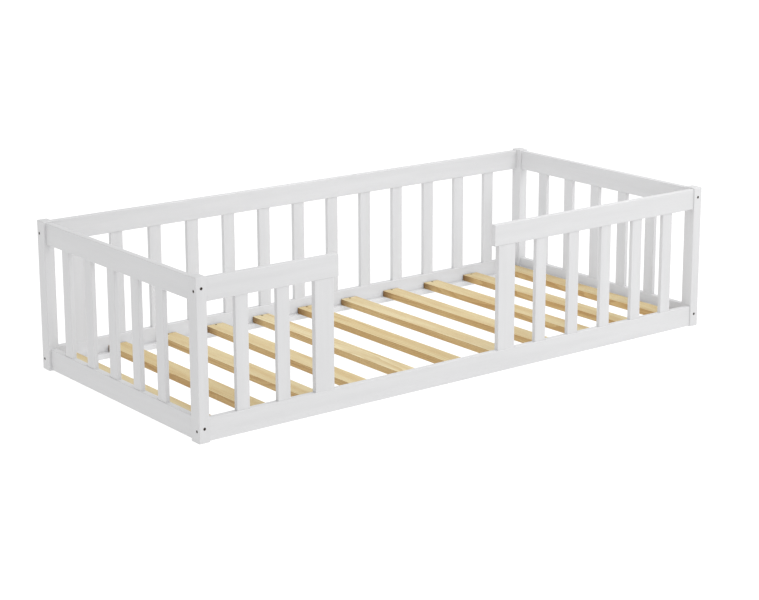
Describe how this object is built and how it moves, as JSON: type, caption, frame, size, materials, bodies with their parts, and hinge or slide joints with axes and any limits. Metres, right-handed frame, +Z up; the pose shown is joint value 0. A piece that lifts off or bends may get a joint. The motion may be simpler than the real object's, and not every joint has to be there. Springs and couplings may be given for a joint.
{
  "type": "toddler bed",
  "caption": "Low wooden floor bed for a small child, with flat-rail and spindle guards on all sides, an open doorway in the front and a slatted base just above the floor.",
  "frame": {"origin": "on the floor, under the middle of the bed's footprint", "axes": "+X along the bed's length, +Y from the front with the doorway to the closed back, +Z up; the doorway is nearer the -X end"},
  "size_m": [2.056, 0.954, 0.495],
  "materials": {
    "white_lacquered_pine": "smooth satin white lacquer over pine",
    "natural_pine": "planed pine with a clear matt finish",
    "beech_dowel": "plain turned beech",
    "dark_bolt_steel": "dark bronzed steel, satin",
    "dark_screw_steel": "dark phosphated steel, matt",
    "zinc_steel": "bright zinc plating"
  },
  "bodies": {
    "root": {"post_front_left": "white_lacquered_pine", "post_front_right": "white_lacquered_pine", "post_back_left": "white_lacquered_pine", "post_back_right": "white_lacquered_pine", "rail_back_top": "white_lacquered_pine", "rail_back_bottom": "white_lacquered_pine", "rail_front_bottom": "white_lacquered_pine", "guard_rail_left": "white_lacquered_pine", "guard_rail_right": "white_lacquered_pine", "rail_left_top": "white_lacquered_pine", "rail_left_bottom": "white_lacquered_pine", "rail_right_top": "white_lacquered_pine", "rail_right_bottom": "white_lacquered_pine", "door_post_left": "white_lacquered_pine", "door_post_right": "white_lacquered_pine", "spindle_back_01": "white_lacquered_pine", "spindle_back_02": "white_lacquered_pine", "spindle_back_03": "white_lacquered_pine", "spindle_back_04": "white_lacquered_pine", "spindle_back_05": "white_lacquered_pine", "spindle_back_06": "white_lacquered_pine", "spindle_back_07": "white_lacquered_pine", "spindle_back_08": "white_lacquered_pine", "spindle_back_09": "white_lacquered_pine", "spindle_back_10": "white_lacquered_pine", "spindle_back_11": "white_lacquered_pine", "spindle_back_12": "white_lacquered_pine", "spindle_back_13": "white_lacquered_pine", "spindle_guard_left_1": "white_lacquered_pine", "spindle_guard_left_2": "white_lacquered_pine", "spindle_guard_right_1": "white_lacquered_pine", "spindle_guard_right_2": "white_lacquered_pine", "spindle_guard_right_3": "white_lacquered_pine", "spindle_guard_right_4": "white_lacquered_pine", "spindle_guard_right_5": "white_lacquered_pine", "spindles_left_end": "white_lacquered_pine", "spindles_right_end": "white_lacquered_pine", "slat_01": "natural_pine", "slat_02": "natural_pine", "slat_03": "natural_pine", "slat_04": "natural_pine", "slat_05": "natural_pine", "slat_06": "natural_pine", "slat_07": "natural_pine", "slat_08": "natural_pine", "slat_09": "natural_pine", "slat_10": "natural_pine", "slat_11": "natural_pine", "cleat_front": "white_lacquered_pine", "cleat_back": "white_lacquered_pine", "bolts_long_rails": "dark_bolt_steel", "bolts_end_rails": "dark_bolt_steel", "insert_nuts": "zinc_steel", "rail_dowels": "beech_dowel", "slat_screws": "dark_screw_steel", "cleat_screws": "dark_screw_steel"}
  },
  "joints": []
}
